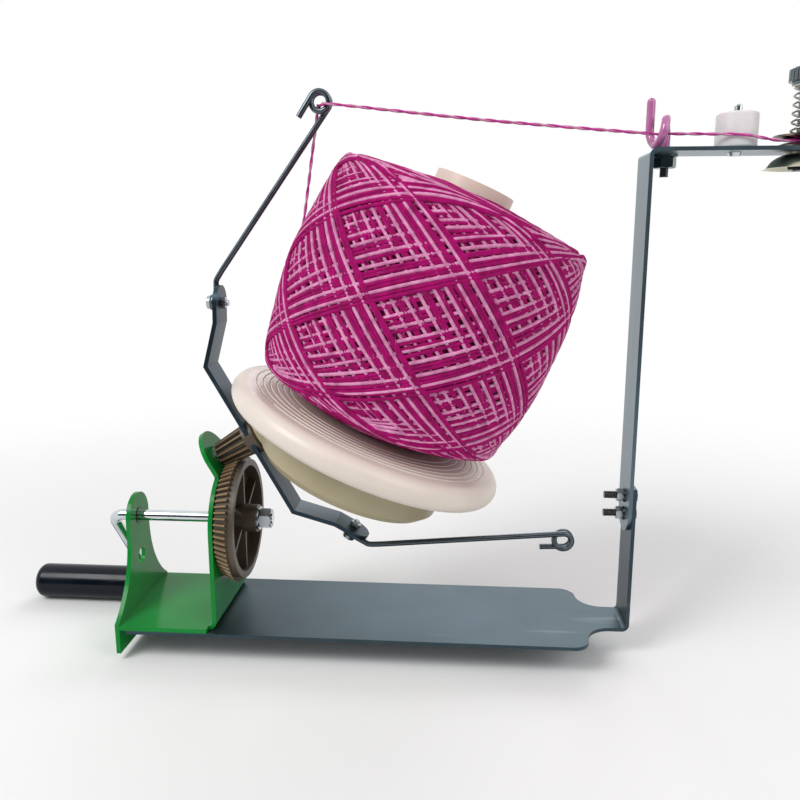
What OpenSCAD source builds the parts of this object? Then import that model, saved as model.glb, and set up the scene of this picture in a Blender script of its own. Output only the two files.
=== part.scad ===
// Hand-cranked yarn ball winder. Millimetres, +Z up, X runs along the base, the front is -Y.
// The crank turns a large bevel gear, which drives a leaning flyer five times as fast.
// The flyer carries two thread eyes round a ball, which turns slowly on its own leaning tray.

/* [Base plate] */
// Depth of the base plate, front to back
base_depth = 92; // [88:1:98]
// Sheet thickness of the base plate
base_t = 2.5; // [2:0.5:3.5]
// Width of the narrow strip, the upright tab and the post
strip_w = 33; // [30:1:36]
// Height of the upright tab
tab_top = 104; // [100:1:110]

/* [Drive bracket] */
// Sheet thickness of the bracket
sheet_t = 3; // [2.5:0.5:3.5]
// Clear distance between the two bracket walls
wall_gap = 64.5; // [60:0.5:70]
// Height of the crank shaft above the table
shaft_h = 71; // [69:1:76]
// Radius of the bearing head on the outer wall
head_r = 17; // [15:1:19]
// Half width of the inner wall
plate_r = 40; // [38:1:42]
// How far the outer wall hangs below the base as a table stop
lip_drop = 15; // [12:1:18]
// Clearance hole in the outer wall for a clamp or bench screw
wall_hole_d = 12; // [10:1:14]

/* [Crank] */
// Diameter of the crank rod and of the flyer and tray shafts
rod_d = 8; // [7.5:0.1:8.4]
// Radius at which the handle circles
crank_r = 92; // [80:1:100]
// Diameter of the turning grip
grip_d = 27; // [24:1:32]
// Length of the turning grip
grip_len = 86; // [76:1:96]

/* [Flyer] */
// Width of the flyer bar
bar_w = 24; // [20:1:26]
// Thickness of the flyer bar
bar_t = 3; // [2.5:0.5:3.5]
// Wire diameter of the two thread arms
wire_d = 4; // [3.5:0.1:4.2]
// Centreline radius of the thread eyes
eye_r = 6; // [5.5:0.5:7]

/* [Tray] */
// Outer radius of the tray rim
tray_r = 99; // [96:1:103]
// Wall thickness of the tray moulding
shell_t = 3; // [2.5:0.1:3.4]
// Height of the gear housing below the tray
drum_h = 25; // [20:1:25]

/* [Yarn package] */
// Outside diameter of the core tube
tube_d = 54; // [52:1:58]
// Length of the core tube
tube_len = 172; // [165:1:180]
// Largest radius of the wound yarn
ball_r = 93.5; // [84:0.5:95]
// Diameter of the yarn strand
strand_d = 1.8; // [1.2:0.1:1.9]

/* [Yarn arm] */
// Height of the arm above the table
arm_top = 326; // [318:1:334]
// Reach of the arm from the post
arm_len = 114; // [112:1:124]
// Sheet thickness of the post and arm
post_t = 2.5; // [2:0.5:3]
// Wire diameter of the open loop guide
guide_d = 5.5; // [5:0.1:6]
// Diameter of the wax ring
wax_d = 25.6; // [22:0.2:30]
// Radius of the two tension discs
disc_r = 15.5; // [14:0.5:16.5]
// Diameter of the tension stud and of the wax pin
stud_d = 5; // [4.5:0.1:5.2]
// Number of curls in the tension spring
spring_turns = 7; // [5:1:8]
// Wire diameter of the tension spring
spring_wire = 1.5; // [1.2:0.1:1.6]

/* [Hidden] */
$fn = 64;

// Fits: parts fixed together, parts that run on one another
fix = 0.03;
run = 0.05;
over = 1;
// Round ends stand this much proud of their strips
swell = 0.15;

// Base plate
half = base_depth / 2;
strip_h = strip_w / 2;
shoulder_r = 12;
hollow_r = half - shoulder_r - strip_h;
bend_r = 2.5;

// Bracket walls along X
wall_r = -112;
wall_l = wall_r - wall_gap;
base_l = wall_l + 4.5;
floor_z = base_t + sheet_t;
neck_z = shaft_h - 11;
flare = half - head_r;
flare_h = neck_z - floor_z - 1;
flare_r = (flare * flare + flare_h * flare_h) / (2 * flare);
wall_hole_z = 39.5;
csk_r = 4.6;
csk_z = 0.3;

// Drive gear pair: cones meet at the apex on the crank axis
tilt = 29.5;
gear_n = 65;
pinion_n = 13;
ratio = gear_n / pinion_n;
pinion_cone = atan(sin(tilt) / (ratio + cos(tilt)));
gear_cone = tilt - pinion_cone;
apex = [wall_r + sheet_t / 2 - 85.5, 0, shaft_h];
gear_s = 97;
gear_face = 10.5;
gear_m = 2 * gear_s * sin(gear_cone) / gear_n;
add_deg = atan(0.9 * gear_m / gear_s);
ded_deg = atan(1.15 * gear_m / gear_s);

// Stations along the crank axis, from the apex
gear_z1 = gear_s * cos(gear_cone);
gear_z2 = (gear_s + gear_face) * cos(gear_cone);
rim_z = gear_z2 + 4.2;
wall_face = wall_r + sheet_t - apex[0];
flange_t = 1.5;
hub_z1 = wall_face + flange_t + 0.5;
hub_z2 = hub_z1 + 20;
gear_r = gear_s * sin(gear_cone);
gear_rim_r = gear_r + 2.2;
gear_rim_t = 4.6;
gear_nut_h = 8.5;

// Crank rod
rod_r = rod_d / 2;
crank_angle = 33;
crank_bend = 8;
// The arm slants back towards the bracket on its way to the grip
arm_slant = 5;
arm_run = (crank_r - 2 * crank_bend * (1 + sin(arm_slant))) / cos(arm_slant);
crank_x1 = wall_l - sheet_t - 9.1;
crank_x2 = crank_x1 - 2 * crank_bend * cos(arm_slant) + arm_run * sin(arm_slant);
arm_lap = 0.5;
arm_ease = 0.08;
collar_t = 1.8;
grip_x = crank_x2 - collar_t - 0.3;
rod_head_r = rod_r + 1.6;
nut_af = 1.625 * rod_d;
nut_h = 6.5;
lock_h = 4;
bush_r = rod_r + 2;
flange_r = bush_r + 2.5;
bush_out = 0.5;

// Stations along the flyer axis, from the apex
tongue_a = 91;
tongue_r = 20;
collar_a = 95.6;
pinion_a = 96;
block_a = 120;
block_l = 10;
block_r = bar_w / 2 + 0.6;
bar_a = 122.6;
quill_a = 152;
quill_r = 6;
key_w = 10;
key_d = 4;
tray_pin_end = 160.8;
washer_a = 161;
thrust_r = rod_r + 1.8;
carrier_a = 162.4;
cross_a = 245;

// Tray axis crosses the flyer axis; the rim plane lies below the crossing
lean = 23.5;
drop = 64;
meet = apex + cross_a * [cos(tilt), 0, sin(tilt)];
rim_c = meet - drop * [sin(lean), 0, cos(lean)];
skew = 90 - tilt - lean;

// Internal bevel pair under the tray
tray_pin_n = 10;
ring_n = 80;
ring_ratio = ring_n / tray_pin_n;
pin2_cone = atan(sin(skew) / (ring_ratio - cos(skew)));
ring_cone = skew + pin2_cone;
ring_s = 93;
ring_m = 2 * ring_s * sin(ring_cone) / ring_n;
add2_deg = atan(0.8 * ring_m / ring_s);
ded2_deg = atan(1.15 * ring_m / ring_s);
ring_low = drop - ring_s * cos(ring_cone);
ring_high = ring_low + 6;
ring_or = 67;
ring_plain_r = 60;

// Tray section, heights above the rim plane
rim_r = 9;
rim_v = 3.3;
rim_mid = tray_r - rim_r;
flat_r = 30;
deck_v = 15.5;
deck_edge = rim_v + rim_r;
tray_hub_r = 9;
tray_hub_v = 6;
tray_hub_h = 12;
spigot_h = 22.5;
tube_r = tube_d / 2;
tube_in = tube_r - 4;
spigot_r = tube_in - run;
// Above its counterbored foot the tube is a little narrower
socket_h = spigot_h + 2;
tube_bore = tube_in - 0.5;
groove_n = 6;
groove_step = 4.6;

// Gear housing and axle carrier
drum_r = 66;
drum_t = 2.5;
drum_top = -8;
drum_low = drum_top - drum_h;
carrier_hub_r = 10;
carrier_boss_r = 6.5;
boss_r = 15;
boss_bore = 7;
neck_a = cross_a - 114;
axle_top = 27;
screw3_r = 1.5;
screw3_at = 7;

// Flyer bar corners, distance from the axis and rise along it
bar_x1 = 60;
bar_x2 = 82.5;
bar_y2 = 22;
bar_x3 = 104;
bar_y3 = 35;
tab_dir = unit([bar_x3 - bar_x2, bar_y3 - bar_y2]);
tab_ang = atan2(tab_dir[1], tab_dir[0]);
bar_end = 12;
screw4_r = 2;
screw_pt = [bar_x3, bar_y3] - bar_end * tab_dir;
wire_r = wire_d / 2;
wire_ring = screw4_r + 0.3 + wire_r;
eye_x = 171;
eye_a = 280.6;
eye_pitch = wire_d + 0.6;
eye_tail = 16;

// Post and arm: the post stands clear of the lower eye, and the base plate ends at it
eye_to_post = 43.574;
tab_x = on_f(eye_x, 0, eye_a)[0] + eye_to_post;
hollow_x = tab_x - 10.5;
shoulder_x = hollow_x - hollow_r - shoulder_r;
post_x = tab_x - post_t;
post_lap = 34;
post_low = tab_top - post_lap;
bolt_z = [tab_top - 9, tab_top - 22];
bolt_r = 2.5;
bolt_tip = post_x - 14;
arm_low = arm_top - post_t;
arm_end = tab_x + arm_len;
guide_x = tab_x + 12.6;
guide_r = guide_d / 2;
guide_loop = 8;
guide_z = arm_top + 11;
guide_shift = 10.6;
guide_tail = 22;
wax_x = tab_x + 54;
wax_h = 21.6;
pin_h = wax_h + 4.4;
stud_x = tab_x + 93;
stud_r = stud_d / 2;
stud_top = arm_top + 50;
disc_t = 1.2;
disc_flat = 10;
disc_rise = 1.7;
nip_z = arm_top + disc_rise + disc_t + strand_d / 2 + run;
upper_z = nip_z + strand_d / 2 + run;
spring_z1 = upper_z + disc_t + 0.1;
spring_z2 = arm_top + 37;
spring_r1 = 5.6;
spring_r2 = 5;
cap_t = 0.8;
thumb_z = spring_z2 + 0.1 + cap_t;
thumb_h = 10;
thumb_r = 9.3;
dish_r = 20.5;
dish_h = 10;
dish_t = 1.5;
dish_boss = 5.4;
stud_nut_h = 5;
stud_out = 1.2;
stud_low = dish_boss + stud_nut_h + stud_out;
strand_r = strand_d / 2;

// Vector and path helpers
function unit(v) = v / norm(v);
function polar(r, a) = [r * cos(a), r * sin(a)];
function arc(c, r, a0, a1, n) = [for (i = [0:n]) c + polar(r, a0 + (a1 - a0) * i / n)];
function on_f(x, y, a) = apex + [x * sin(tilt) + a * cos(tilt), y, a * sin(tilt) - x * cos(tilt)];
function on_t(u, y, v) = rim_c + [u * cos(lean) + v * sin(lean), y, v * cos(lean) - u * sin(lean)];
function heading(p, i) = unit(p[min(i + 1, len(p) - 1)] - p[max(i - 1, 0)]);
function square_to(v, t) = unit(v - (v * t) * t);
function sides(p, first) = [
  for (i = 0, v = square_to(first, heading(p, 0)); i < len(p);
       i = i + 1, v = i < len(p) ? square_to(v, heading(p, i)) : v) v
];

// A round wire along a path of points, drawn as one unbroken skin
module tube(p, r, n, first) {
  side = sides(p, first);
  last = len(p) - 1;
  skin = [
    for (i = [0:last]) for (j = [0:n - 1])
      p[i] + r * (cos(360 * j / n) * side[i] + sin(360 * j / n) * cross(heading(p, i), side[i]))
  ];
  wall = [
    for (i = [0:last - 1]) for (j = [0:n - 1])
      let (a = i * n + j, b = i * n + (j + 1) % n) each [[a, a + n, b + n], [a, b + n, b]]
  ];
  caps = [
    for (j = [1:n - 2]) each [[0, j, j + 1], [last * n, last * n + j + 1, last * n + j]]
  ];
  polyhedron(points = skin, faces = concat(wall, caps));
}

// Tooth outline: n teeth between two radii, widths given as parts of the pitch
module teeth(n, r1, r2, w1, w2, turn) {
  pitch = 360 / n;
  polygon([
    for (k = [0:n - 1]) let (c = turn + k * pitch) each [
      polar(r1, c - w1 * pitch / 2),
      polar(r2, c - w2 * pitch / 2),
      polar(r2, c + w2 * pitch / 2),
      polar(r1, c + w1 * pitch / 2)
    ]
  ]);
}

// Teeth that shrink towards a cone apex at the origin, between two heights
module cone_teeth(n, low, high, deg1, deg2, w1, w2, turn) {
  translate([0, 0, low])
    linear_extrude(height = high - low, scale = high / low)
      teeth(n, low * tan(deg1), low * tan(deg2), w1, w2, turn);
}

// Placement in the leaning frames and along X
module on_flyer() {
  translate(apex) rotate([0, 90 - tilt, 0]) children();
}
module on_tray() {
  translate(rim_c) rotate([0, lean, 0]) children();
}
module on_crank() {
  translate(apex) rotate([0, 90, 0]) children();
}
module along_x(x) {
  translate([x, 0, 0]) rotate([0, 90, 0]) children();
}
module each_screw() {
  for (x = [wall_l + 14, wall_r - 14]) for (y = [-half + 16, half - 16]) translate([x, y, 0]) children();
}
module each_tab() {
  for (s = [0, 180]) rotate([0, 0, s])
    translate([screw_pt[0], 0, bar_a + screw_pt[1]]) rotate([0, -tab_ang, 0]) children();
}

// Plain fastener shapes
module hexagon(af, h) {
  cylinder(r = af / 2 / cos(30), h = h, $fn = 6);
}
module nut(af, h, bore) {
  difference() {
    intersection() {
      hexagon(af, h);
      cylinder(r1 = af / 2, r2 = af / 2 + h, h = h);
      cylinder(r1 = af / 2 + h, r2 = af / 2, h = h);
    }
    translate([0, 0, -over]) cylinder(r = bore, h = h + 2 * over);
  }
}
module washer(r, bore, t) {
  difference() {
    cylinder(r = r, h = t);
    translate([0, 0, -over]) cylinder(r = bore, h = t + 2 * over);
  }
}
module box(x1, x2, y, z1, z2) {
  translate([x1, -y, z1]) cube([x2 - x1, 2 * y, z2 - z1]);
}
// Quarter of a bent sheet, inner radius r, lying in the +X -Z quadrant
module sheet_bend(r, t, w) {
  intersection() {
    translate([0, w / 2, 0]) rotate([90, 0, 0]) difference() {
      cylinder(r = r + t, h = w);
      translate([0, 0, -over]) cylinder(r = r, h = w + 2 * over);
    }
    translate([0, -w, -r - t - over]) cube([r + t + over, 2 * w, r + t + over]);
  }
}

// Base plate with a stepped right end bent up into the tab
module base_blank() {
  box(base_l, shoulder_x, half, 0, base_t);
  box(shoulder_x, hollow_x - hollow_r, half - shoulder_r, 0, base_t);
  for (s = [-1, 1]) translate([shoulder_x, s * (half - shoulder_r), 0]) cylinder(r = shoulder_r, h = base_t);
  difference() {
    box(hollow_x - hollow_r, hollow_x, half - shoulder_r, 0, base_t);
    for (s = [-1, 1]) translate([hollow_x, s * (half - shoulder_r), -over])
      cylinder(r = hollow_r, h = base_t + 2 * over);
  }
  box(hollow_x, tab_x - bend_r, strip_h, 0, base_t);
  translate([tab_x - bend_r, 0, base_t + bend_r]) sheet_bend(bend_r, base_t, strip_w);
  box(tab_x, tab_x + base_t, strip_h, base_t + bend_r, tab_top);
}
module base_plate() {
  color([0.42, 0.5, 0.54]) difference() {
    base_blank();
    each_screw() screw_sink();
    for (z = bolt_z) translate([0, 0, z]) along_x(tab_x - over)
      cylinder(r = bolt_r + run, h = base_t + 2 * over);
  }
}

// Folded drive bracket: outer wall with lip, floor, inner wall with a leaning tongue
bend_x = apex[0] + 85.5;
bend_z = shaft_h + (tongue_a + sheet_t / 2 - (bend_x - apex[0]) * cos(tilt)) / sin(tilt);
miter_z = bend_z + tan(tilt / 2) * sheet_t / 2;
module outer_wall() {
  difference() {
    box(wall_l - sheet_t, wall_l, half, -lip_drop, neck_z);
    for (s = [-1, 1]) translate([0, s * (head_r + flare_r), neck_z]) along_x(wall_l - sheet_t - over)
      cylinder(r = flare_r, h = sheet_t + 2 * over, $fn = 128);
  }
  box(wall_l - sheet_t, wall_l, head_r, neck_z, shaft_h);
  translate([0, 0, shaft_h]) along_x(wall_l - sheet_t) cylinder(r = head_r, h = sheet_t);
}
module inner_wall() {
  reach = (wall_r + sheet_t - apex[0]) * sin(tilt) - (miter_z - shaft_h) * cos(tilt);
  box(wall_r, wall_r + sheet_t, plate_r, floor_z + bend_r, shaft_h);
  box(wall_r, wall_r + sheet_t, tongue_r - swell, shaft_h, miter_z - run);
  difference() {
    translate([0, 0, shaft_h]) along_x(wall_r) cylinder(r = plate_r, h = sheet_t);
    box(wall_r - over, wall_r + sheet_t + over, plate_r + over, bend_z - 1, shaft_h + plate_r + over);
  }
  on_flyer() {
    box(0, reach, tongue_r, tongue_a, tongue_a + sheet_t);
    intersection() {
      translate([0, 0, tongue_a]) cylinder(r = tongue_r + swell, h = sheet_t);
      box(-tongue_r - over, reach / 2, tongue_r + over, tongue_a - over, tongue_a + sheet_t + over);
    }
  }
  translate([wall_r - bend_r, 0, floor_z + bend_r]) sheet_bend(bend_r, sheet_t, 2 * plate_r);
}
module drive_bracket() {
  color([0.1, 0.5, 0.27]) difference() {
    union() {
      outer_wall();
      box(wall_l, wall_r - bend_r, half, base_t, floor_z);
      inner_wall();
    }
    each_screw() screw_sink();
    translate([0, 0, shaft_h]) along_x(wall_l - sheet_t - over)
      cylinder(r = bush_r + fix, h = wall_gap + 2 * sheet_t + 2 * over);
    translate([0, 0, wall_hole_z]) along_x(wall_l - sheet_t - over)
      cylinder(r = wall_hole_d / 2, h = sheet_t + 2 * over);
    on_flyer() translate([0, 0, tongue_a - over]) cylinder(r = rod_r + fix, h = sheet_t + 2 * over);
  }
}
module bracket_screw(g) {
  translate([0, 0, csk_z]) cylinder(r1 = csk_r + g, r2 = bolt_r + g, h = base_t - csk_z - 0.1);
  translate([0, 0, csk_z]) cylinder(r = bolt_r + g, h = floor_z - csk_z - 0.6 + g);
}
module screw_sink() {
  bracket_screw(run);
  translate([0, 0, -over]) cylinder(r = csk_r + run, h = over + csk_z);
}
module bracket_screws() {
  color([0.6, 0.62, 0.64]) difference() {
    each_screw() bracket_screw(0);
    each_screw() cylinder(r = 1.7, h = 1.4, $fn = 6);
  }
}
module shaft_bush() {
  difference() {
    union() {
      cylinder(r = flange_r, h = flange_t);
      cylinder(r = bush_r, h = flange_t + sheet_t + bush_out);
    }
    translate([0, 0, -over]) cylinder(r = rod_r + run, h = flange_t + sheet_t + bush_out + 2 * over);
  }
}
module shaft_bushes() {
  color([0.72, 0.6, 0.38]) translate([0, 0, shaft_h]) {
    along_x(wall_l - sheet_t - flange_t) shaft_bush();
    translate([wall_r + sheet_t + flange_t, 0, 0]) rotate([0, -90, 0]) shaft_bush();
  }
}

// Fixed flyer shaft with its clamp collar, lock nut and thrust washer
module flyer_shaft() {
  color([0.75, 0.77, 0.79]) on_flyer() {
    translate([0, 0, tongue_a - lock_h - 1]) cylinder(r = rod_r, h = carrier_a + 5.6 - tongue_a + lock_h + 1);
    translate([0, 0, tongue_a + sheet_t]) cylinder(r = rod_r + 3, h = collar_a - tongue_a - sheet_t);
  }
}
module shaft_lock_nut() {
  color([0.6, 0.62, 0.64]) on_flyer() translate([0, 0, tongue_a - lock_h]) nut(nut_af, lock_h, rod_r + fix);
}
module thrust_washer() {
  color([0.75, 0.77, 0.79]) on_flyer() translate([0, 0, washer_a]) washer(thrust_r, rod_r + run, 1.2);
}

// Arm that carries the tray axle from the end of the fixed shaft
module axle_carrier() {
  color([0.55, 0.57, 0.6]) difference() {
    union() {
      difference() {
        on_tray() box(-46, 0, 7, -6, 4);
        on_flyer() translate([0, 0, carrier_a - 40]) cylinder(r = 12, h = 40);
      }
      on_flyer() translate([0, 0, carrier_a]) cylinder(r = carrier_boss_r, h = 6.1);
      on_tray() translate([0, 0, drum_low + drum_t])
        cylinder(r = carrier_hub_r, h = tray_hub_v - 0.5 - drum_low - drum_t);
    }
    on_flyer() translate([0, 0, carrier_a - over]) cylinder(r = rod_r + fix, h = 5.6 + over);
    on_tray() translate([0, 0, drum_low]) cylinder(r = rod_r + fix, h = drum_h + 30);
    on_tray() each_m3() translate([0, 0, drum_low]) cylinder(r = screw3_r + fix, h = drum_t + 8);
  }
}
module each_m3() {
  for (i = [0:2]) rotate([0, 0, 60 + 120 * i]) translate([screw3_at, 0, 0]) children();
}
module tray_axle() {
  color([0.75, 0.77, 0.79]) on_tray() translate([0, 0, drum_low + drum_t])
    cylinder(r = rod_r, h = axle_top - drum_low - drum_t);
}
module axle_washer() {
  color([0.75, 0.77, 0.79]) on_tray() translate([0, 0, tray_hub_v + tray_hub_h + 0.3])
    washer(8, rod_r + fix, 1.2);
}
module axle_nut() {
  color([0.6, 0.62, 0.64]) on_tray() translate([0, 0, tray_hub_v + tray_hub_h + 1.5])
    nut(nut_af, nut_h, rod_r + fix);
}

// Drum-shaped housing round the tray pinion, with a neck for the flyer quill
module gear_housing() {
  color([0.85, 0.8, 0.74]) difference() {
    union() {
      on_tray() {
        translate([0, 0, drum_low]) cylinder(r1 = drum_r - 5, r2 = drum_r, h = 5);
        translate([0, 0, drum_low + 5]) cylinder(r = drum_r, h = drum_h - 5);
      }
      difference() {
        on_flyer() translate([0, 0, neck_a]) cylinder(r = boss_r, h = 16.5);
        on_tray() box(-3 * drum_r, 0, drum_r, drum_top, drum_top + drum_r);
      }
    }
    on_tray() {
      translate([0, 0, drum_low + drum_t]) cylinder(r1 = drum_r - drum_t - 5, r2 = drum_r - drum_t, h = 5);
      translate([0, 0, drum_low + drum_t + 5]) cylinder(r = drum_r - drum_t, h = drum_h);
      each_m3() translate([0, 0, drum_low - over]) cylinder(r = screw3_r + run, h = drum_t + 2 * over);
    }
    on_flyer() translate([0, 0, neck_a - over]) cylinder(r = boss_bore, h = 24);
  }
}
module housing_screws() {
  color([0.6, 0.62, 0.64]) on_tray() each_m3() {
    translate([0, 0, drum_low]) cylinder(r = screw3_r, h = drum_t + 7.5);
    difference() {
      translate([0, 0, drum_low - 2]) cylinder(r1 = 2.4, r2 = 2.8, h = 2);
      translate([0, 0, drum_low - 2 - over]) cylinder(r = 1.2, h = over + 1.2, $fn = 6);
    }
  }
}

// Post and arm from one bent strip
module post() {
  color([0.42, 0.5, 0.54]) difference() {
    union() {
      translate([0, 0, post_low + strip_h]) along_x(post_x) cylinder(r = strip_h, h = post_t);
      box(post_x, tab_x, strip_h, post_low + strip_h, arm_low - bend_r);
      translate([tab_x + bend_r, 0, arm_low - bend_r]) rotate([0, 180, 0])
        sheet_bend(bend_r, post_t, strip_w);
      box(tab_x + bend_r, arm_end - strip_h, strip_h, arm_low, arm_top);
      translate([arm_end - strip_h, 0, arm_low]) cylinder(r = strip_h, h = post_t);
    }
    for (z = bolt_z) translate([0, 0, z]) along_x(post_x - over)
      cylinder(r = bolt_r + run, h = post_t + 2 * over);
    translate([guide_x, guide_loop, arm_low - over]) cylinder(r = guide_r + run, h = post_t + 2 * over);
    translate([wax_x, 0, arm_low - over]) cylinder(r = stud_r + fix, h = post_t + 2 * over);
    translate([stud_x, 0, arm_low - over]) cylinder(r = stud_r + fix, h = post_t + 2 * over);
  }
}
module post_bolts() {
  color([0.6, 0.62, 0.64]) for (z = bolt_z) translate([0, 0, z]) {
    along_x(bolt_tip) cylinder(r = bolt_r, h = tab_x + base_t - bolt_tip);
    along_x(tab_x + base_t) difference() {
      cylinder(r = 4.6, h = 3.4);
      translate([0, 0, 1.6]) cylinder(r = 2.3, h = 3, $fn = 6);
    }
  }
}
module post_washers() {
  color([0.75, 0.77, 0.79]) for (z = bolt_z) translate([0, 0, z]) along_x(post_x - 1.2)
    washer(5, bolt_r + run, 1.2);
}
module post_nuts() {
  color([0.6, 0.62, 0.64]) for (z = bolt_z) translate([0, 0, z]) along_x(post_x - 1.2 - 4.4)
    nut(8, 4.4, bolt_r + fix);
}

// Open loop guide: a shank through the arm, one full turn, then a short upright tail
module pigtail_guide() {
  loop = [
    for (i = [0:24]) let (t = i / 24)
      [guide_x - guide_shift * t, guide_loop * cos(360 * t), guide_z + guide_loop * sin(360 * t)]
  ];
  tail = [for (h = [3, guide_tail]) [guide_x - guide_shift, guide_loop, guide_z + h]];
  shank = [for (z = [arm_low - 14, guide_z - 3]) [guide_x, guide_loop, z]];
  color([0.75, 0.42, 0.66]) tube(concat(shank, loop, tail), guide_r, 12, [1, 0, 0]);
}
module pigtail_washer() {
  color([0.75, 0.77, 0.79]) translate([guide_x, guide_loop, arm_low - 1.4]) washer(8, guide_r + run, 1.4);
}
module pigtail_nut() {
  color([0.6, 0.62, 0.64]) translate([guide_x, guide_loop, arm_low - 1.4 - 7]) nut(13, 7, guide_r + fix);
}

// Wax ring turning on a riveted pin
module wax_pin() {
  color([0.75, 0.77, 0.79]) translate([wax_x, 0, 0]) {
    translate([0, 0, arm_low]) cylinder(r = stud_r, h = post_t + pin_h);
    translate([0, 0, arm_top + pin_h]) cylinder(r1 = stud_r, r2 = stud_r - 1, h = 1);
    translate([0, 0, arm_low - 2]) cylinder(r1 = 3.6, r2 = 4.6, h = 2);
  }
}
module wax_ring() {
  color([0.93, 0.93, 0.9]) translate([wax_x, 0, arm_top + 0.1]) rotate_extrude()
    polygon(concat(
      [[stud_r + run, 0]],
      arc([wax_d / 2 - 1.5, 1.5], 1.5, -90, 0, 4),
      arc([wax_d / 2 - 1.5, wax_h - 1.5], 1.5, 0, 90, 4),
      [[stud_r + run, wax_h]]
    ));
}

// Yarn tensioner: stud, two dished discs, a tapered spring and a thumb nut
module tension_stud() {
  color([0.75, 0.77, 0.79]) translate([stud_x, 0, arm_low - stud_low]) {
    cylinder(r = stud_r, h = stud_top - arm_low + stud_low - 1);
    translate([0, 0, stud_top - arm_low + stud_low - 1]) cylinder(r1 = stud_r, r2 = stud_r - 0.8, h = 1);
  }
}
module stud_nut() {
  color([0.12, 0.12, 0.13]) translate([stud_x, 0, arm_low - dish_boss - stud_nut_h])
    nut(10, stud_nut_h, stud_r + fix);
}
module bottom_dish() {
  ball = (dish_r * dish_r + dish_h * dish_h) / (2 * dish_h);
  color([0.8, 0.79, 0.7]) translate([stud_x, 0, arm_low]) difference() {
    union() {
      difference() {
        translate([0, 0, -ball]) sphere(r = ball);
        translate([0, 0, -ball]) sphere(r = ball - dish_t);
        translate([-2 * ball, -2 * ball, -dish_h - 2 * ball]) cube([4 * ball, 4 * ball, 2 * ball]);
      }
      translate([0, 0, -dish_t - 0.5]) cylinder(r = 7, h = dish_t + 0.5);
      translate([0, 0, -dish_boss]) cylinder(r = stud_r + 2.5, h = dish_boss);
    }
    translate([0, 0, -dish_h - over]) cylinder(r = stud_r + fix, h = dish_h + 2 * over);
  }
}
module disc(bore) {
  rotate_extrude() polygon([
    [bore, disc_rise],
    [disc_flat, disc_rise],
    [disc_r, 0],
    [disc_r, disc_t],
    [disc_flat, disc_rise + disc_t],
    [bore, disc_rise + disc_t]
  ]);
}
module lower_disc() {
  color([0.8, 0.81, 0.83]) translate([stud_x, 0, arm_top]) disc(stud_r + fix);
}
module upper_disc() {
  color([0.8, 0.81, 0.83]) translate([stud_x, 0, upper_z + disc_rise + disc_t]) mirror([0, 0, 1])
    disc(stud_r + run);
}
module tension_spring() {
  curl = 8;
  steps = curl * spring_turns;
  w = spring_wire / 2;
  rise = spring_z2 - spring_z1 - 2 * w;
  path = [
    for (i = [0:steps]) let (t = i / steps, r = spring_r1 + (spring_r2 - spring_r1) * t)
      [stud_x + r * cos(360 * i / curl), r * sin(360 * i / curl), spring_z1 + w + rise * t]
  ];
  gap = min([for (i = [0:steps - curl]) norm(path[i + curl] - path[i])]) - spring_wire;
  echo(spring_least_gap = gap);
  color([0.78, 0.79, 0.8]) tube(path, w, 6, [0, 0, 1]);
}
module spring_cap() {
  color([0.75, 0.77, 0.79]) translate([stud_x, 0, spring_z2 + 0.1])
    washer(spring_r2 + spring_wire / 2 + 0.6, stud_r + run, cap_t);
}
module thumb_nut() {
  color([0.7, 0.71, 0.72]) translate([stud_x, 0, thumb_z]) difference() {
    union() {
      cylinder(r = thumb_r - 2, h = 2);
      translate([0, 0, 2]) cylinder(r = thumb_r, h = thumb_h - 3);
      translate([0, 0, thumb_h - 1]) cylinder(r1 = thumb_r, r2 = thumb_r - 1, h = 1);
    }
    translate([0, 0, -over]) cylinder(r = stud_r + run, h = thumb_h + 2 * over);
    for (i = [0:23]) rotate([0, 0, 15 * i]) translate([thumb_r + 0.5, 0, 2]) cylinder(r = 1, h = thumb_h);
  }
}

// Crank: one bent rod with shoulders that keep the grip on
module rod_run(z1, z2) {
  translate([0, 0, min(z1, z2)]) cylinder(r = rod_r, h = abs(z2 - z1));
}
module rod_bend(turn) {
  rotate([90, 0, 0]) rotate([0, 0, turn]) rotate_extrude(angle = 90 + arm_slant) translate([crank_bend, 0])
    circle(r = rod_r);
}
module crank_rod() {
  color([0.8, 0.81, 0.83]) translate([0, 0, shaft_h]) rotate([crank_angle, 0, 0]) {
    rotate([0, 90, 0]) rod_run(crank_x1, apex[0] + hub_z2 + flange_t + gear_nut_h + 0.8);
    translate([crank_x1, 0, -crank_bend]) {
      rod_bend(90);
      rotate([0, 180 - arm_slant, 0]) translate([crank_bend, 0, -arm_lap])
        cylinder(r = rod_r - arm_ease, h = arm_run + 2 * arm_lap);
    }
    translate([crank_x2, 0, -crank_r + crank_bend]) rod_bend(-90);
    translate([0, 0, -crank_r]) {
      rotate([0, 90, 0]) rod_run(crank_x2, grip_x - grip_len - 0.3);
      along_x(grip_x + 0.3) cylinder(r = rod_head_r, h = collar_t);
      along_x(grip_x - grip_len - 0.3 - 2) cylinder(r1 = rod_head_r - 1, r2 = rod_head_r, h = 2);
    }
  }
}
module grip() {
  color([0.05, 0.05, 0.06]) translate([0, 0, shaft_h]) rotate([crank_angle, 0, 0])
    translate([grip_x, 0, -crank_r]) rotate([0, -90, 0]) rotate_extrude() polygon(concat(
      [[rod_r + run, 0]],
      arc([grip_d / 2 - 3, 3], 3, -90, 0, 5),
      arc([grip_d / 2 - 6, grip_len - 6], 6, 0, 90, 8),
      [[rod_r + run, grip_len]]
    ));
}

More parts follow.
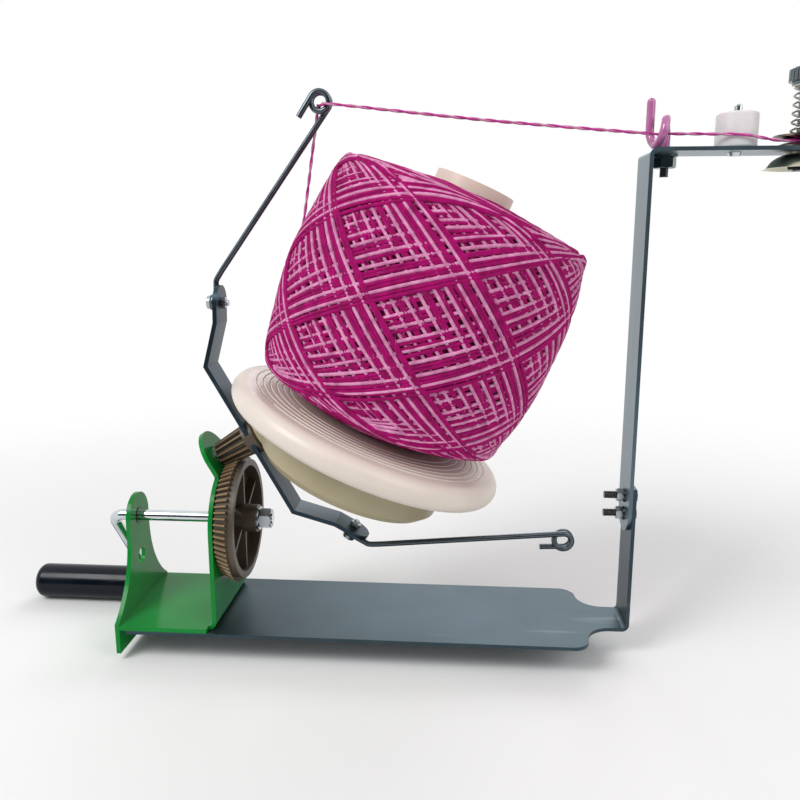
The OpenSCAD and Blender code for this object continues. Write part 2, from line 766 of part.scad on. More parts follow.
// Large bevel gear on the crank, with a recessed ribbed web
module drive_gear() {
  color([0.3, 0.26, 0.22]) on_crank() difference() {
    union() {
      difference() {
        union() {
          cone_teeth(gear_n, gear_z1, gear_z2, gear_cone - ded_deg, gear_cone + add_deg, 0.62, 0.26, 180);
          translate([0, 0, gear_z2 - 0.5]) cylinder(r = gear_rim_r, h = rim_z - gear_z2 + 0.5);
        }
        translate([0, 0, gear_z1 + 5]) cylinder(r = gear_rim_r - gear_rim_t, h = rim_z);
        translate([0, 0, gear_z1 - over]) cylinder(r = gear_r - 7, h = over + 2);
      }
      translate([0, 0, hub_z1]) cylinder(r = 10, h = hub_z2 - hub_z1);
      for (i = [0:5]) rotate([0, 0, 60 * i]) translate([8, -1.1, gear_z1 + 4])
        cube([gear_rim_r - 10, 2.2, 7]);
    }
    translate([0, 0, hub_z1 - over]) cylinder(r = rod_r + fix, h = hub_z2 - hub_z1 + 2 * over);
  }
}
module gear_washer() {
  color([0.75, 0.77, 0.79]) on_crank() translate([0, 0, hub_z2]) washer(8.5, rod_r + fix, flange_t);
}
module gear_nut() {
  color([0.6, 0.62, 0.64]) on_crank() translate([0, 0, hub_z2 + flange_t])
    nut(nut_af, gear_nut_h, rod_r + fix);
}

// Flyer: pinion moulded over the bar, keyed quill with the tray pinion
module flyer_pinion() {
  color([0.3, 0.26, 0.22]) difference() {
    on_flyer() difference() {
      union() {
        cone_teeth(
          pinion_n, pinion_a, block_a + 0.5,
          pinion_cone - ded_deg, pinion_cone + add_deg, 0.62, 0.22, 180 / pinion_n
        );
        translate([0, 0, block_a]) cylinder(r = block_r, h = block_l - 2);
        translate([0, 0, block_a + block_l - 2]) cylinder(r1 = block_r, r2 = block_r - 2, h = 2);
      }
      translate([0, 0, pinion_a - over]) cylinder(r = rod_r + run, h = block_l + 40);
      translate([-key_w / 2, -key_w / 2, block_a + block_l - key_d]) cube([key_w, key_w, key_d + over]);
    }
    on_flyer() bar_solid();
  }
}
module tray_pinion() {
  color([0.3, 0.26, 0.22]) on_flyer() difference() {
    union() {
      translate([-key_w / 2 + fix, -key_w / 2 + fix, block_a + block_l - key_d + fix])
        cube([key_w - 2 * fix, key_w - 2 * fix, key_d]);
      translate([0, 0, block_a + block_l]) cylinder(r = quill_r, h = quill_a - block_a - block_l);
      translate([0, 0, cross_a]) rotate([180, 0, 0])
        cone_teeth(
          tray_pin_n, cross_a - tray_pin_end, cross_a - quill_a,
          pin2_cone - ded2_deg, pin2_cone + add2_deg, 0.6, 0.22, 0
        );
    }
    translate([0, 0, block_a]) cylinder(r = rod_r + run, h = 60);
  }
}

// Cranked flyer bar from flat steel, thickened by mitred offsets
function miter(p, i, t) =
  let (
    a = i > 0 ? unit(p[i] - p[i - 1]) : unit(p[i + 1] - p[i]),
    b = i < len(p) - 1 ? unit(p[i + 1] - p[i]) : a,
    m = unit([-a[1] - b[1], a[0] + b[0]])
  ) p[i] + m * t / (m * [-a[1], a[0]]);
module bar_solid() {
  right = [[bar_x1, 0], [bar_x2, bar_y2], screw_pt];
  back = concat([for (i = [2:-1:0]) [-right[i][0], right[i][1]]], right);
  front = [for (i = [len(back) - 1:-1:0]) miter(back, i, bar_t)];
  difference() {
    union() {
      translate([0, bar_w / 2, bar_a]) rotate([90, 0, 0]) linear_extrude(height = bar_w)
        polygon(concat(back, front));
      each_tab() cylinder(r = bar_w / 2 + swell, h = bar_t);
    }
    translate([0, 0, bar_a - over]) cylinder(r = rod_r + 2, h = bar_t + 2 * over);
    each_tab() translate([0, 0, -over]) cylinder(r = screw4_r + run, h = bar_t + 2 * over);
  }
}
module flyer_bar() {
  color([0.42, 0.47, 0.5]) on_flyer() bar_solid();
}

// Thread arm: a ring round the tab screw, a straight run and an eye of one and a half turns
module thread_arm() {
  out = [tab_dir[1], -tab_dir[0]];
  seat = screw_pt + (wire_r + run) * out;
  tip = seat + (bar_end + 3) * tab_dir;
  eye = [eye_x, eye_a - bar_a];
  go = unit(eye - tip);
  inner = [-go[1], go[0]];
  y0 = -0.75 * eye_pitch;
  ring = [
    for (i = [0:14]) let (a = -345 + 255 * i / 14, q = seat + wire_ring * cos(a) * tab_dir)
      [q[0], wire_ring * sin(a), q[1]]
  ];
  knee = [for (k = [-2, 0]) let (q = tip + k * tab_dir) [q[0], -wire_ring, q[1]]];
  loop = [
    for (i = [0:30]) let (a = 540 * i / 30, q = eye + eye_r * (cos(a) * inner + sin(a) * go))
      [q[0], y0 + eye_pitch * a / 360, q[1]]
  ];
  end = eye - eye_r * inner - eye_tail * go;
  path = concat(ring, knee, loop, [[end[0], -y0, end[1]]]);
  translate([0, 0, bar_a]) tube(path, wire_r, 8, [out[0], 0, out[1]]);
}
module lower_wire() {
  color([0.62, 0.64, 0.66]) on_flyer() thread_arm();
}
module upper_wire() {
  color([0.62, 0.64, 0.66]) on_flyer() rotate([0, 0, 180]) thread_arm();
}
module flyer_screws() {
  color([0.6, 0.62, 0.64]) on_flyer() each_tab() {
    translate([0, 0, -wire_d - 2 * run]) cylinder(r = screw4_r, h = wire_d + 2 * run + bar_t + 5);
    translate([0, 0, -wire_d - 2 * run - 2.6]) difference() {
      cylinder(r1 = 4.4, r2 = 5.2, h = 2.6);
      translate([0, 0, -over]) cylinder(r = 1.6, h = over + 1.4, $fn = 6);
    }
  }
}
module flyer_nuts() {
  color([0.6, 0.62, 0.64]) on_flyer() each_tab() translate([0, 0, bar_t]) nut(7, 3.2, screw4_r + fix);
}

// Tray: grooved deck with a rolled rim, a hub on the axle and a spigot for the tube
deck_slope = (deck_v - deck_edge) / (rim_mid - flat_r);
function deck_at(r) = deck_v - max(0, r - flat_r) * deck_slope;
module tray() {
  color([0.88, 0.82, 0.78]) on_tray() difference() {
    union() {
      rotate_extrude() polygon([
        [rod_r + run, deck_v - shell_t],
        [flat_r, deck_v - shell_t],
        [rim_mid, deck_edge - shell_t],
        [rim_mid, deck_edge],
        [flat_r, deck_v],
        [rod_r + run, deck_v]
      ]);
      difference() {
        translate([0, 0, rim_v]) rotate_extrude() translate([rim_mid, 0]) circle(r = rim_r);
        translate([0, 0, rim_v]) rotate_extrude() translate([rim_mid, 0]) circle(r = rim_r - shell_t);
        translate([0, 0, rim_v - rim_r - over]) cylinder(r = rim_mid, h = 2 * rim_r + 2 * over);
      }
      translate([0, 0, tray_hub_v]) cylinder(r = tray_hub_r, h = tray_hub_h);
      translate([0, 0, deck_v]) washer(spigot_r, spigot_r - shell_t, spigot_h);
    }
    translate([0, 0, tray_hub_v - over]) cylinder(r = rod_r + run, h = tray_hub_h + 2 * over);
    for (i = [0:groove_n - 1]) let (r = rim_mid - 5 - groove_step * i)
      translate([0, 0, deck_at(r) + 0.2]) rotate_extrude() translate([r, 0]) circle(r = 0.8);
  }
}
module tray_gear() {
  color([0.3, 0.26, 0.22]) on_tray() {
    rotate_extrude() polygon([
      [ring_plain_r, ring_high],
      [ring_or, ring_high],
      [ring_or, deck_at(ring_or) - shell_t],
      [ring_plain_r, deck_at(ring_plain_r) - shell_t]
    ]);
    difference() {
      translate([0, 0, ring_low]) washer(ring_or, 40, ring_high - ring_low);
      translate([0, 0, drop]) rotate([180, 0, 0])
        cone_teeth(
          ring_n, drop - ring_high - 0.5, drop - ring_low + 0.5,
          ring_cone - add2_deg, ring_cone + ded2_deg, 0.76, 0.38, 0
        );
    }
  }
}

// Wound package: card tube and the barrel of yarn round it
ball_low = 26;
ball_high = 174;
ball_mid = (ball_low + ball_high) / 2;
ball_arc = 260;
module core_tube() {
  color([0.9, 0.86, 0.8]) on_tray() translate([0, 0, deck_v + run]) difference() {
    washer(tube_r, tube_bore, tube_len);
    translate([0, 0, -over]) cylinder(r = tube_in, h = socket_h + over);
  }
}
module yarn_package() {
  swing = asin((ball_high - ball_mid - 6) / ball_arc);
  edge = ball_r - ball_arc * (1 - cos(swing));
  color([0.7, 0.1, 0.45]) on_tray() rotate_extrude() polygon(concat(
    [[tube_r, deck_v + 0.7], [50, deck_v + 0.7], [edge - 6, ball_low]],
    arc([edge - 5, ball_low + 6], 5, -80, -15, 4),
    arc([ball_r - ball_arc, ball_mid], ball_arc, -swing, swing, 16),
    arc([edge - 5, ball_high - 6], 5, 15, 85, 4),
    [[tube_r, ball_high + 6]]
  ));
}

// The strand: through the discs, past the wax, through the loop guide and the upper eye
guide_pass = [guide_x - 5, -2, guide_z - 1.7];
eye_pass = on_f(-eye_x, 0, eye_a) + [0, 0, 0.8 + wire_r + strand_r - eye_r];
module yarn_lead() {
  path = [
    [stud_x + 6, -7, nip_z],
    [stud_x - disc_r, -9.5, nip_z],
    [wax_x + 8, -wax_d / 2 - strand_r, arm_top + 5.6],
    [wax_x - 2, -wax_d / 2 - strand_r - 0.4, arm_top + 7],
    guide_pass + [4, -1, 0],
    guide_pass
  ];
  color([0.78, 0.45, 0.62]) tube(path, strand_r, 6, [0, 0, 1]);
}
module yarn_span() {
  path = [
    guide_pass + [-0.6, 0.03, 0],
    guide_pass + [-8, 0, 0.4],
    eye_pass + [14, -6.8, -1],
    eye_pass + [3, -3.6, 0],
    eye_pass
  ];
  color([0.78, 0.45, 0.62]) tube(path, strand_r, 6, [0, 0, 1]);
}
module yarn_drop() {
  path = [
    eye_pass + [-0.5, 0.6, -0.05],
    eye_pass + [-2.6, 5.6, -1.5],
    eye_pass + [-3.6, 7.4, -6],
    on_t(-ball_r - 0.9, 10, ball_mid + 6),
    on_t(-ball_r - 0.7, 12, ball_mid - 6)
  ];
  color([0.78, 0.45, 0.62]) tube(path, strand_r, 6, [1, 0, 0]);
}

base_plate();
drive_bracket();
bracket_screws();
shaft_bushes();
flyer_shaft();
shaft_lock_nut();
thrust_washer();
axle_carrier();
tray_axle();
axle_washer();
axle_nut();
gear_housing();
housing_screws();
post();
post_bolts();
post_washers();
post_nuts();
pigtail_guide();
pigtail_washer();
pigtail_nut();
wax_pin();
tension_stud();
stud_nut();
bottom_dish();
lower_disc();
yarn_lead();
crank_rod();
drive_gear();
gear_washer();
gear_nut();
grip();
flyer_pinion();
tray_pinion();
flyer_bar();
upper_wire();
lower_wire();
flyer_screws();
flyer_nuts();
yarn_span();
yarn_drop();
tray();
tray_gear();
core_tube();
yarn_package();
wax_ring();
upper_disc();
tension_spring();
spring_cap();
thumb_nut();
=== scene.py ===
# %% [markdown]
# A hand-cranked yarn winder: a bent steel base, a green drive bracket, a leaning flyer with two
# wire eyes, and a cream tray that carries a barrel of two-coloured yarn. The metal and plastic
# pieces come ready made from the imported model. Here they get their finishes, and the yarn, the
# wires and the spring are modelled again, because yarn is where a plain solid looks least real.

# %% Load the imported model
import math
import random
import bpy
from mathutils import Matrix, Vector


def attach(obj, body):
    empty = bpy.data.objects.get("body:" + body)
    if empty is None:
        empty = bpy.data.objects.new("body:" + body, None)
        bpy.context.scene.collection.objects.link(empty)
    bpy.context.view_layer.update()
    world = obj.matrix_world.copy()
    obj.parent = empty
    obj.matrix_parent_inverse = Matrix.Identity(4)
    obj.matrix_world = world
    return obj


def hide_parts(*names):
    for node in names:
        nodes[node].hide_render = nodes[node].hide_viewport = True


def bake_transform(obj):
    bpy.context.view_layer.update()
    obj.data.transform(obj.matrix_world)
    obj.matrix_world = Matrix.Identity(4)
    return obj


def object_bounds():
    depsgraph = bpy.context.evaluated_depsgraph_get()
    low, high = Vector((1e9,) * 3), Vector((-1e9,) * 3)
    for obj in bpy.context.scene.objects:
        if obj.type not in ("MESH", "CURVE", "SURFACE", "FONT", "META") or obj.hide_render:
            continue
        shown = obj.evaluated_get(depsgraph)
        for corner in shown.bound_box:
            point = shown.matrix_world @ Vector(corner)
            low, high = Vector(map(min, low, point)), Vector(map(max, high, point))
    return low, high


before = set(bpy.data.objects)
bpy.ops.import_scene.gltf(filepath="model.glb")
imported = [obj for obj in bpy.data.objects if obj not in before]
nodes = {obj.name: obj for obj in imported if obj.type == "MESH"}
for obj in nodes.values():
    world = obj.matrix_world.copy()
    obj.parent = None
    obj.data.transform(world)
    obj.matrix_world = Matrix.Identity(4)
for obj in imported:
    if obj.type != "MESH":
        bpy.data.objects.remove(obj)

cad_low, cad_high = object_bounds()
print("pieces from the packed model:", len(nodes))

# %% [markdown]
# The camera stands a little right of the middle and looks slightly down, as the photograph was
# taken. Its place was solved from the straight edges of the base and the ellipse of the tray, so
# it is written here as one position, two angles and one angle of view.

# %% Camera
MM = 0.001


def mm(x, y, z):
    """A point given in millimetres, as a vector in metres."""
    return Vector((x, y, z)) * MM


lens = bpy.data.cameras.new("photo_camera")
lens.angle = math.radians(54.53)
camera = bpy.data.objects.new("photo_camera", lens)
bpy.context.scene.collection.objects.link(camera)
yaw, pitch = math.radians(4.33), math.radians(11.2)
look = Vector((-math.sin(yaw) * math.cos(pitch), math.cos(yaw) * math.cos(pitch), -math.sin(pitch)))
camera.location = mm(56.52, -529.52, 265.34)
camera.rotation_euler = look.to_track_quat("-Z", "Y").to_euler()
bpy.context.scene.camera = camera
bpy.context.scene.view_settings.view_transform = "Standard"
print("camera at", [round(c, 3) for c in camera.location])

# %% [markdown]
# The studio is a wide pale floor under three soft lamps. The floor lies just below the grip, which
# hangs lower than the base because the real winder sits at the edge of a table. The world is white
# where the camera or a reflection sees it, and weaker as a light, so shadows stay soft. A dark card
# behind the photographer gives the chrome something dark to reflect, as any room would.

# %% Floor, world and lamps
bpy.ops.object.select_all(action="DESELECT")
floor_z = cad_low.z - 0.0006
bpy.ops.mesh.primitive_plane_add(size=40, location=(0, 0, floor_z))
floor = bpy.context.object
floor.name = "studio_floor"
floor_paint = bpy.data.materials.new("studio_floor_paint")
floor_paint.use_nodes = True
paper = floor_paint.node_tree
matt = paper.nodes["Principled BSDF"]
matt.inputs["Base Color"].default_value = (0.96, 0.96, 0.96, 1)
matt.inputs["Roughness"].default_value = 0.95
matt.inputs["Specular IOR Level"].default_value = 0.0
place = paper.nodes.new("ShaderNodeTexCoord")
far = paper.nodes.new("ShaderNodeVectorMath")
far.operation = "LENGTH"
fade = paper.nodes.new("ShaderNodeMapRange")
fade.interpolation_type = "SMOOTHSTEP"
fade.inputs["From Min"].default_value = 0.34
fade.inputs["From Max"].default_value = 0.95
clear = paper.nodes.new("ShaderNodeBsdfTransparent")
both = paper.nodes.new("ShaderNodeMixShader")
paper.links.new(place.outputs["Object"], far.inputs[0])
paper.links.new(far.outputs["Value"], fade.inputs["Value"])
paper.links.new(fade.outputs[0], both.inputs[0])
paper.links.new(matt.outputs[0], both.inputs[1])
paper.links.new(clear.outputs[0], both.inputs[2])
paper.links.new(both.outputs[0], paper.nodes["Material Output"].inputs["Surface"])
floor.data.materials.append(floor_paint)

world = bpy.data.worlds.new("studio_world")
bpy.context.scene.world = world
world.use_nodes = True
sky = world.node_tree
ray = sky.nodes.new("ShaderNodeLightPath")
seen = sky.nodes.new("ShaderNodeMath")
seen.operation = "MAXIMUM"
seen_all = sky.nodes.new("ShaderNodeMath")
seen_all.operation = "MAXIMUM"
level = sky.nodes.new("ShaderNodeMapRange")
sky.links.new(ray.outputs["Is Camera Ray"], seen.inputs[0])
sky.links.new(ray.outputs["Is Glossy Ray"], seen.inputs[1])
sky.links.new(seen.outputs[0], seen_all.inputs[0])
sky.links.new(ray.outputs["Is Transmission Ray"], seen_all.inputs[1])
sky.links.new(seen_all.outputs[0], level.inputs["Value"])
level.inputs["To Min"].default_value = 0.42
level.inputs["To Max"].default_value = 1.0
sky.links.new(level.outputs[0], sky.nodes["Background"].inputs["Strength"])
sky.nodes["Background"].inputs["Color"].default_value = (1, 1, 1, 1)


def soft_lamp(name, place, target, size, power):
    """A square lamp that faces a point of the winder."""
    lamp = bpy.data.lights.new(name, "AREA")
    lamp.shape = "SQUARE"
    lamp.size = size
    lamp.energy = power
    holder = bpy.data.objects.new(name, lamp)
    bpy.context.scene.collection.objects.link(holder)
    holder.location = place
    holder.rotation_euler = (Vector(target) - Vector(place)).to_track_quat("-Z", "Y").to_euler()
    return holder


bpy.ops.object.select_all(action="DESELECT")
bpy.ops.mesh.primitive_plane_add(size=1, location=(0, -1.5, 0.35), rotation=(math.radians(90), 0, 0))
card = bpy.context.object
card.name = "dark_card"
card.scale = (3.2, 1.1, 1)
card.visible_camera = card.visible_diffuse = card.visible_shadow = False
card_paint = bpy.data.materials.new("dark_card_paint")
card_paint.use_nodes = True
card_paint.node_tree.nodes["Principled BSDF"].inputs["Base Color"].default_value = (0.01, 0.012, 0.015, 1)
card.data.materials.append(card_paint)
soft_lamp("key_lamp", (-0.95, -0.9, 1.35), (0, 0, 0.12), 0.8, 17)
soft_lamp("fill_lamp", (1.2, -0.7, 0.9), (0, 0, 0.15), 1.0, 6)
soft_lamp("back_lamp", (0.2, 1.3, 1.1), (0, 0, 0.15), 1.0, 7)
print("floor at", round(floor_z, 4))

# %% [markdown]
# Every finish is a small graph of nodes. Written as Python, the graph reads like the formula it
# is: one class holds a socket, and plus, minus, times and the rest add Math nodes. One more method
# makes any other node, with its settings first and its sockets after.

# %% Node formulas
class Signal:
    """A socket in a finish's node tree; arithmetic on it adds Math nodes."""

    def __init__(self, tree, socket=None):
        self.tree = tree
        self.socket = socket

    def node(self, kind, settings=None, sockets=None, out=0):
        made = self.tree.nodes.new(kind)
        for key, value in (settings or {}).items():
            setattr(made, key, value)
        for key, value in (sockets or {}).items():
            if isinstance(value, Signal):
                self.tree.links.new(value.socket, made.inputs[key])
            else:
                made.inputs[key].default_value = value
        return Signal(self.tree, made.outputs[out])

    def math(self, operation, a, b=0.0):
        return self.node("ShaderNodeMath", {"operation": operation}, {0: a, 1: b})

    def __add__(self, other):
        return self.math("ADD", self, other)

    def __radd__(self, other):
        return self.math("ADD", other, self)

    def __sub__(self, other):
        return self.math("SUBTRACT", self, other)

    def __rsub__(self, other):
        return self.math("SUBTRACT", other, self)

    def __mul__(self, other):
        return self.math("MULTIPLY", self, other)

    def __rmul__(self, other):
        return self.math("MULTIPLY", other, self)

    def wave(self):
        return self.math("SINE", self)

    def root(self):
        return self.math("SQRT", self)

    def __gt__(self, other):
        return self.math("GREATER_THAN", self, other)

    def __lt__(self, other):
        return self.math("LESS_THAN", self, other)

    def between(self, low, high):
        """0 below low, 1 above high, straight in between."""
        return self.node("ShaderNodeMapRange", None, {"Value": self, "From Min": low, "From Max": high})


class Finish:
    """A material with one Principled shader, and short words for its usual patterns."""

    def __init__(self, name, colour, **shader):
        self.material = bpy.data.materials.new(name)
        self.material.use_nodes = True
        self.tree = self.material.node_tree
        self.shader = self.tree.nodes["Principled BSDF"]
        self.shader.inputs["Base Color"].default_value = (*colour, 1)
        self.material.diffuse_color = (*colour, 1)
        for key, value in shader.items():
            self.shader.inputs[key.replace("_", " ")].default_value = value
        self.start = Signal(self.tree)
        self.place = self.start.node("ShaderNodeTexCoord", out="Object")

    def axes(self, place=None):
        """The three coordinates as separate signals."""
        split = (place or self.place).node("ShaderNodeSeparateXYZ", None, {0: place or self.place})
        outs = split.socket.node.outputs
        return [Signal(self.tree, outs[i]) for i in range(3)]

    def moved(self, offset=(0, 0, 0), turn=(0, 0, 0), scale=(1, 1, 1)):
        """The place seen from a shifted, turned or stretched frame."""
        return self.start.node(
            "ShaderNodeMapping",
            {"vector_type": "TEXTURE"},
            {"Vector": self.place, "Location": offset, "Rotation": turn, "Scale": scale},
        )

    def noise(self, scale, detail=3.0, rough=0.55, place=None):
        return self.start.node(
            "ShaderNodeTexNoise",
            None,
            {"Vector": place or self.place, "Scale": scale, "Detail": detail, "Roughness": rough},
        )

    def mix(self, factor, a, b):
        """One colour going over into another."""
        first = a if isinstance(a, Signal) else (*a, 1)
        second = b if isinstance(b, Signal) else (*b, 1)
        return self.start.node(
            "ShaderNodeMix", {"data_type": "RGBA"}, {0: factor, 6: first, 7: second}, out=2
        )

    def bump(self, height, distance):
        made = self.start.node("ShaderNodeBump", None, {"Height": height, "Distance": distance})
        self.feed("Normal", made)

    def feed(self, socket, signal):
        self.tree.links.new(signal.socket, self.shader.inputs[socket])


print("node formulas ready")

# %% [markdown]
# The base plate, the post and the flyer bar are sheet steel with a bluish zinc coat. Close up, such
# a coat is cloudy, with a fine rolled grain along the strip and a few bright scratches. A stretched
# noise gives the grain, a broad noise the clouds, and the peaks of a finer one the scratches.

# %% Zinc-coated sheet
def zinc_sheet(name, colour, grain, rough):
    """Zinc-coated steel whose rolled grain runs along the long side of grain."""
    made = Finish(name, colour, Metallic=0.85, Roughness=rough)
    cloud = made.noise(22, 2)
    lines = made.noise(60, 4, 0.65, made.moved(scale=grain))
    streak = made.noise(420, 1, 0.4, made.moved(scale=tuple(4 * g for g in grain)))
    scratch = streak.between(0.72, 0.80) * 0.08
    tone = cloud.between(0.3, 0.7) * 0.6 + lines.between(0.3, 0.7) * 0.4
    dull = tuple(0.80 * c for c in colour)
    clear = tuple(min(1.0, 1.18 * c + 0.008) for c in colour)
    made.feed("Base Color", made.mix(scratch, made.mix(tone, dull, clear), (0.62, 0.66, 0.68)))
    made.feed("Roughness", rough - 0.07 + lines * 0.12 + cloud * 0.06)
    made.bump(lines, 0.00004)
    return made.material


base_zinc = zinc_sheet("zinc_base", (0.042, 0.069, 0.086), (12, 1, 1), 0.38)
post_zinc = zinc_sheet("zinc_post", (0.122, 0.180, 0.214), (1, 1, 12), 0.30)
bar_zinc = zinc_sheet("zinc_bar", (0.022, 0.042, 0.060), (4, 1, 4), 0.33)
print("zinc finishes:", base_zinc.name, post_zinc.name, bar_zinc.name)

# %% [markdown]
# The bracket is sprayed in a thick gloss green. Paint like this is never quite flat: it has the
# soft ripple that painters call orange peel, it pools a little darker in places, and it is rubbed
# thin where the table edge touches the lip.

# %% Green enamel
enamel = Finish(
    "green_enamel", (0.005, 0.230, 0.034), Roughness=0.24, Coat_Weight=0.04, Coat_Roughness=0.08,
    Specular_IOR_Level=0.16,
)
peel = enamel.noise(420, 2)
pool = enamel.noise(16, 2)
rub = enamel.noise(260, 4, 0.7)
height = enamel.axes()[2]
at_lip = (1 - height.between(-0.0149, -0.0135)) * rub.between(0.52, 0.62)
paint = enamel.mix(pool.between(0.3, 0.7), (0.003, 0.190, 0.026), (0.006, 0.260, 0.040))
enamel.feed("Base Color", enamel.mix(at_lip, paint, (0.10, 0.13, 0.12)))
enamel.feed("Roughness", 0.16 + peel * 0.08 + at_lip * 0.3)
enamel.bump(peel + 0.15 * rub, 0.00006)
print("paint:", enamel.material.name)

# %% [markdown]
# The small steel parts differ mostly in polish: the crank is chromed, the wires are drawn steel, nuts
# and screws are dull zinc, the nut under the dish is blackened. Threads are only about a millimetre
# apart, so a wave along the axis, fed to the bump, shows them as well as cut metal would; the same
# wave darkens the grooves as painted shade.

# %% Bright metals and threads
def bright_metal(name, colour, rough, mottled=0.06, thread=None):
    """Metal with faint handling marks; thread is (axis number, pitch, low, high) in metres."""
    made = Finish(name, colour, Metallic=1.0, Roughness=rough)
    haze = made.noise(90, 3)
    fine = made.noise(1400, 2)
    dim = tuple(0.86 * c for c in colour)
    shade = made.mix(haze.between(0.35, 0.65), dim, colour)
    relief = fine * 0.1
    if thread:
        axis, step, low, high = thread
        along = made.axes()[axis]
        cut = (along * (2 * math.pi / step)).wave()
        inside = (along > low) * (along < high)
        relief = relief + cut * inside * 2.0
        # Painted shade: the thread grooves are darkened towards a quarter of the metal's colour.
        shade = made.mix((0.5 - cut * 0.5) * inside * 0.6, shade, tuple(0.25 * c for c in colour))
    made.feed("Base Color", shade)
    made.feed("Roughness", rough - mottled / 2 + haze * mottled)
    made.bump(relief, 0.00012)
    return made.material


chrome = bright_metal("chrome_rod", (0.66, 0.71, 0.74), 0.06, 0.04)
wire_steel = bright_metal("drawn_wire", (0.115, 0.140, 0.160), 0.28, 0.10)
shaft_steel = bright_metal("ground_shaft", (0.58, 0.60, 0.62), 0.22, 0.08)
stud_steel = bright_metal("threaded_stud", (0.50, 0.50, 0.49), 0.28, 0.08, (2, 0.0011, 0.30, 0.40))
bolt_steel = bright_metal("threaded_bolt", (0.17, 0.18, 0.18), 0.28, 0.08, (0, 0.0011, 0.155, 0.1735))
nut_zinc = bright_metal("zinc_nut", (0.46, 0.50, 0.53), 0.26, 0.10)
nickel = bright_metal("nickel_disc", (0.66, 0.64, 0.59), 0.16, 0.06)
spring_steel = bright_metal("spring_wire", (0.36, 0.36, 0.33), 0.20, 0.06)
dark_nut = bright_metal("dark_zinc_nut", (0.150, 0.185, 0.195), 0.24, 0.08)
worn_disc = bright_metal("worn_disc", (0.24, 0.21, 0.18), 0.24, 0.08)
ivory_dish = bright_metal("dish_plating", (0.56, 0.53, 0.41), 0.26, 0.08)
black_nut = bright_metal("blackened_nut", (0.030, 0.030, 0.034), 0.42, 0.12)
bush_dark = bright_metal("bush_oiled", (0.060, 0.075, 0.062), 0.34, 0.10)
print("metals ready")

# %% [markdown]
# The gears are moulded in a brown nylon with a bronze sheen. The pinion rubs their tooth tips to a
# golden brown, so the finish measures how far a point stands outside the pitch cone and lightens
# it there. The cones meet at one point on the crank axis, which makes that distance easy to write.

# %% Brown gear nylon
APEX = (-0.196, 0.0, 0.071)
FLYER_TILT = math.radians(29.5)


def gear_nylon(name, turn, cone_tan, lift, end):
    """Brown nylon worn golden on the tips of a bevel gear whose cone starts at the apex."""
    made = Finish(name, (0.070, 0.047, 0.030), Roughness=0.42, Specular_IOR_Level=0.55)
    x, y, z = made.axes(made.moved(APEX, (0, turn, 0)))
    radius = (y * y + z * z).root()
    tip = (radius - x * cone_tan).between(lift, lift + 0.0012) * (x < end)
    speck = made.noise(900, 3, 0.7)
    flow = made.noise(45, 2)
    body = made.mix(flow.between(0.3, 0.7), (0.058, 0.045, 0.031), (0.112, 0.084, 0.056))
    worn = made.mix(speck, (0.22, 0.135, 0.055), (0.34, 0.215, 0.095))
    made.feed("Base Color", made.mix(tip * 0.8, body, worn))
    made.feed("Roughness", 0.34 + speck * 0.18)
    made.bump(speck * 0.4 + flow, 0.00008)
    return made.material


gear_brown = gear_nylon("gear_nylon", 0.0, 0.455, 0.0003, 0.0974)
pinion_brown = gear_nylon("pinion_nylon", -FLYER_TILT, 0.085, 0.0002, 0.1199)
print("gear finishes:", gear_brown.name, pinion_brown.name)

# %% [markdown]
# Tray, drum and core tube are cream plastic. A moulding of this size shows its turned mould as very
# fine rings, and cream plastic lets a little light in, so shadows on it stay warm. The rings are a
# wave of the distance from the tray's axis, which leans 23.5 degrees.

# %% Cream mouldings
TRAY_CENTRE = mm(-8.283, 0, 132.952)
TRAY_LEAN = math.radians(23.5)


def cream_moulding(name, light, warm, ring, depth):
    """Cream plastic with turned rings, ring metres apart, about the tray's axis."""
    made = Finish(name, light, Roughness=0.36, Subsurface_Weight=0.12, Subsurface_Scale=0.004)
    made.shader.inputs["Subsurface Radius"].default_value = (1.0, 0.6, 0.4)
    x, y, z = made.axes(made.moved(TRAY_CENTRE, (0, TRAY_LEAN, 0)))
    radius = (x * x + y * y).root()
    turned = (radius * (2 * math.pi / ring)).wave()
    cloud = made.noise(18, 2)
    grain = made.noise(1100, 2)
    tint = cloud.between(0.3, 0.7) * 0.7 + turned * 0.05
    made.feed("Base Color", made.mix(tint, warm, light))
    made.feed("Roughness", 0.30 + grain * 0.12)
    made.bump(turned + grain * 0.25, depth)
    return made.material


tray_cream = cream_moulding("tray_cream", (0.86, 0.775, 0.705), (0.80, 0.705, 0.62), 0.0023, 0.00001)
# The drum gets a darker, yellower copy of the tray's cream: painted shade for the shadow it lies in under
# the tray.
drum_cream_painted_shade = cream_moulding("drum_cream_painted_shade", (0.50, 0.44, 0.29), (0.44, 0.38, 0.24), 0.0023, 0.00001)
tube_cream = cream_moulding("tube_cream", (0.86, 0.745, 0.65), (0.79, 0.66, 0.55), 0.0011, 0.00001)
print("cream finishes:", tray_cream.name, tube_cream.name)

# %% [markdown]
# Three more plastics: the black grip is polished, with hand marks that only show in its gloss. The
# loop guide is dipped in a glassy pink down to the arm. The wax ring is soft and white, a little
# see-through, and the yarn has scored fine lines round it.

# %% Grip, guide and wax finishes
grip_black = Finish("grip_black", (0.003, 0.005, 0.010), Roughness=0.16, Specular_IOR_Level=0.22)
smear = grip_black.noise(38, 4, 0.6)
grain = grip_black.noise(800, 2)
grip_black.feed("Base Color", grip_black.mix(smear, (0.002, 0.004, 0.009), (0.005, 0.008, 0.015)))
grip_black.feed("Roughness", 0.10 + smear.between(0.35, 0.7) * 0.16)
grip_black.bump(grain, 0.00002)

